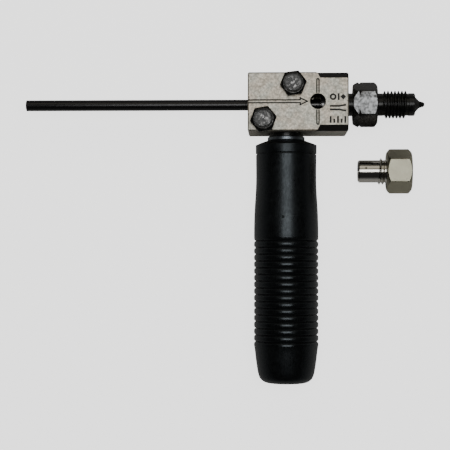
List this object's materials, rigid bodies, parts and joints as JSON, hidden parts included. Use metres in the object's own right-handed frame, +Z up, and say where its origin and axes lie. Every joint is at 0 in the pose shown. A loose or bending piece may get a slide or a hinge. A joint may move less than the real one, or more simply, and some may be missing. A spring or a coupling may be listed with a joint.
{
  "type": "brake pipe flaring tool",
  "caption": "Hand-held brake-pipe flaring tool: split clamping block, double-ended forming screw with swivelling punches, ribbed rubber grip, clamped pipe and a loose stop screw.",
  "frame": {"origin": "on the bench plane at the centre of the clamping block's back face; the brake pipe's axis is 14 mm above it", "axes": "+X along the brake pipe towards the forming screw, +Y away from the handle across the block, +Z up out of the block's marked front face"},
  "size_m": [0.174, 0.1338, 0.032],
  "materials": {
    "block_steel": "satin",
    "black_paint": "satin",
    "black_oxide": "satin",
    "hard_steel": "satin",
    "nickel": "gloss",
    "pipe_coat": "gloss",
    "zinc": "gloss",
    "core_plastic": "matt",
    "grip_rubber": "satin"
  },
  "bodies": {
    "clamp_base": {"rear_jaw": "block_steel", "dowel_pins": "hard_steel", "handle_stud": "zinc", "lock_washer": "black_oxide", "plain_washer": "zinc", "grip_core": "core_plastic", "grip_end_washer": "zinc", "grip_nut": "zinc", "grip_sleeve": "grip_rubber"},
    "front_clamp": {"front_jaw": "block_steel", "mark_paint": "black_paint"},
    "upper_bolt": {"upper_clamp_bolt": "black_oxide"},
    "lower_bolt": {"lower_clamp_bolt": "black_oxide"},
    "first_punch": {"op1_punch": "hard_steel"},
    "screw": {"forming_screw": "black_oxide", "punch_snap_rings": "hard_steel"},
    "second_punch": {"op2_punch": "black_oxide"},
    "pipe": {"brake_pipe": "pipe_coat"},
    "loose_stop": {"stop_screw": "nickel"}
  },
  "joints": [
    {"name": "front_jaw_open", "type": "slide", "parent": "clamp_base", "child": "front_clamp", "axis": [0, 0, 1], "range_m": [0, 0.004]},
    {"name": "upper_bolt_turn", "type": "hinge", "parent": "front_clamp", "child": "upper_bolt", "pos_m": [-0.0021, 0.0074, 0.028], "axis": [0, 0, 1], "range_deg": [0, 1440]},
    {"name": "lower_bolt_turn", "type": "hinge", "parent": "front_clamp", "child": "lower_bolt", "pos_m": [-0.0148, -0.0077, 0.028], "axis": [0, 0, 1], "range_deg": [0, 1440]},
    {"name": "forming_screw_travel", "type": "slide", "parent": "clamp_base", "child": "first_punch", "axis": [1, 0, 0], "range_m": [0, 0.0075]},
    {"name": "forming_screw_turn", "type": "hinge", "parent": "first_punch", "child": "screw", "pos_m": [0.03, 0, 0.014], "axis": [1, 0, 0], "range_deg": [0, 1800]},
    {"name": "second_punch_swivel", "type": "hinge", "parent": "screw", "child": "second_punch", "pos_m": [0.05, 0, 0.014], "axis": [1, 0, 0], "continuous": true},
    {"name": "pipe_slide", "type": "slide", "parent": "clamp_base", "child": "pipe", "axis": [-1, 0, 0], "range_m": [0, 0.04]},
    {"name": "stop_screw_lift", "type": "slide", "parent": "clamp_base", "child": "loose_stop", "axis": [0, 0, 1], "range_m": [0, 0.05]}
  ],
  "couplings": [
    {"joint": "upper_bolt_turn", "follows": "front_jaw_open", "rad_per_m": 6283.2},
    {"joint": "lower_bolt_turn", "follows": "front_jaw_open", "rad_per_m": 6283.2},
    {"joint": "forming_screw_turn", "follows": "forming_screw_travel", "rad_per_m": 4188.8}
  ]
}
